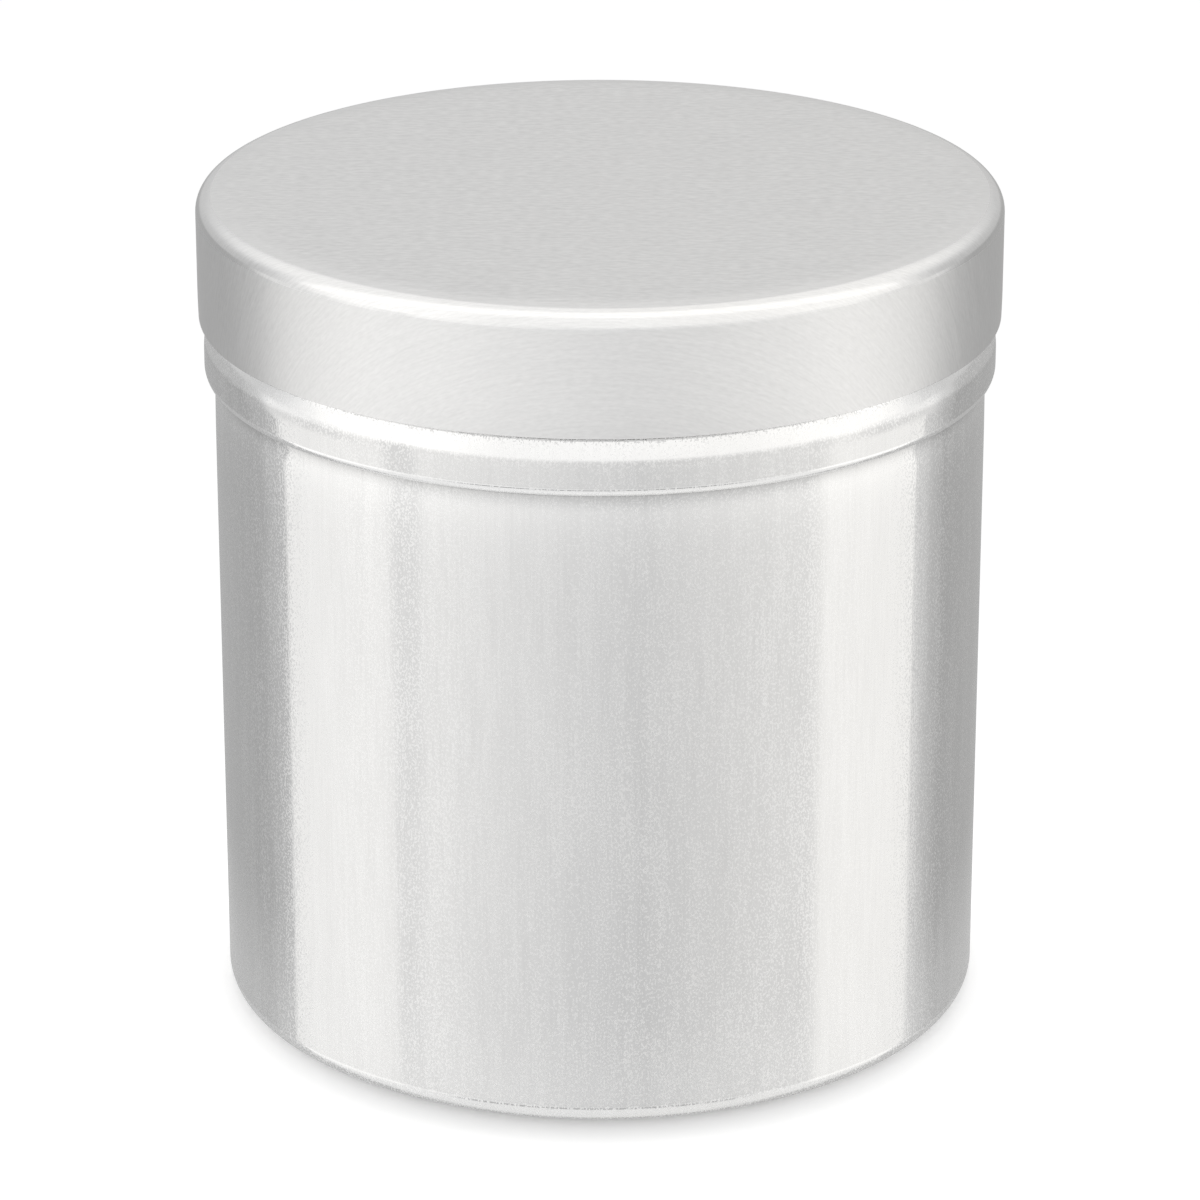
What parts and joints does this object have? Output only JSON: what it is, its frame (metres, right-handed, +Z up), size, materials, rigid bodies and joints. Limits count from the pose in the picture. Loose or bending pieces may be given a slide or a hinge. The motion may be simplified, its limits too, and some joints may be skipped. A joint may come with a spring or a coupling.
{
  "type": "round tin",
  "caption": "Round drawn-aluminium tin with a rolled bead below the mouth and a flat-topped slip lid that lifts straight off, for keeping dry goods or small things.",
  "frame": {"origin": "centre of the flat underside of the base", "axes": "+Z up along the tin's axis through the lid; X and Y lie in the base, and the tin is round, so neither is a front"},
  "size_m": [0.0934, 0.0934, 0.0985],
  "materials": {
    "can_aluminium": "bare drawn aluminium, satin, with fine upright drawing streaks and a sparkling grain",
    "lid_aluminium": "bare drawn aluminium, satin, with the straight rolling grain of the sheet across the top and round the skirt"
  },
  "bodies": {
    "can": {"can_body": "can_aluminium"},
    "lid": {"slip_lid": "lid_aluminium"}
  },
  "joints": [
    {"name": "lid_lift", "type": "slide", "parent": "can", "child": "lid", "axis": [0, 0, 1], "range_m": [0, 0.1]}
  ]
}
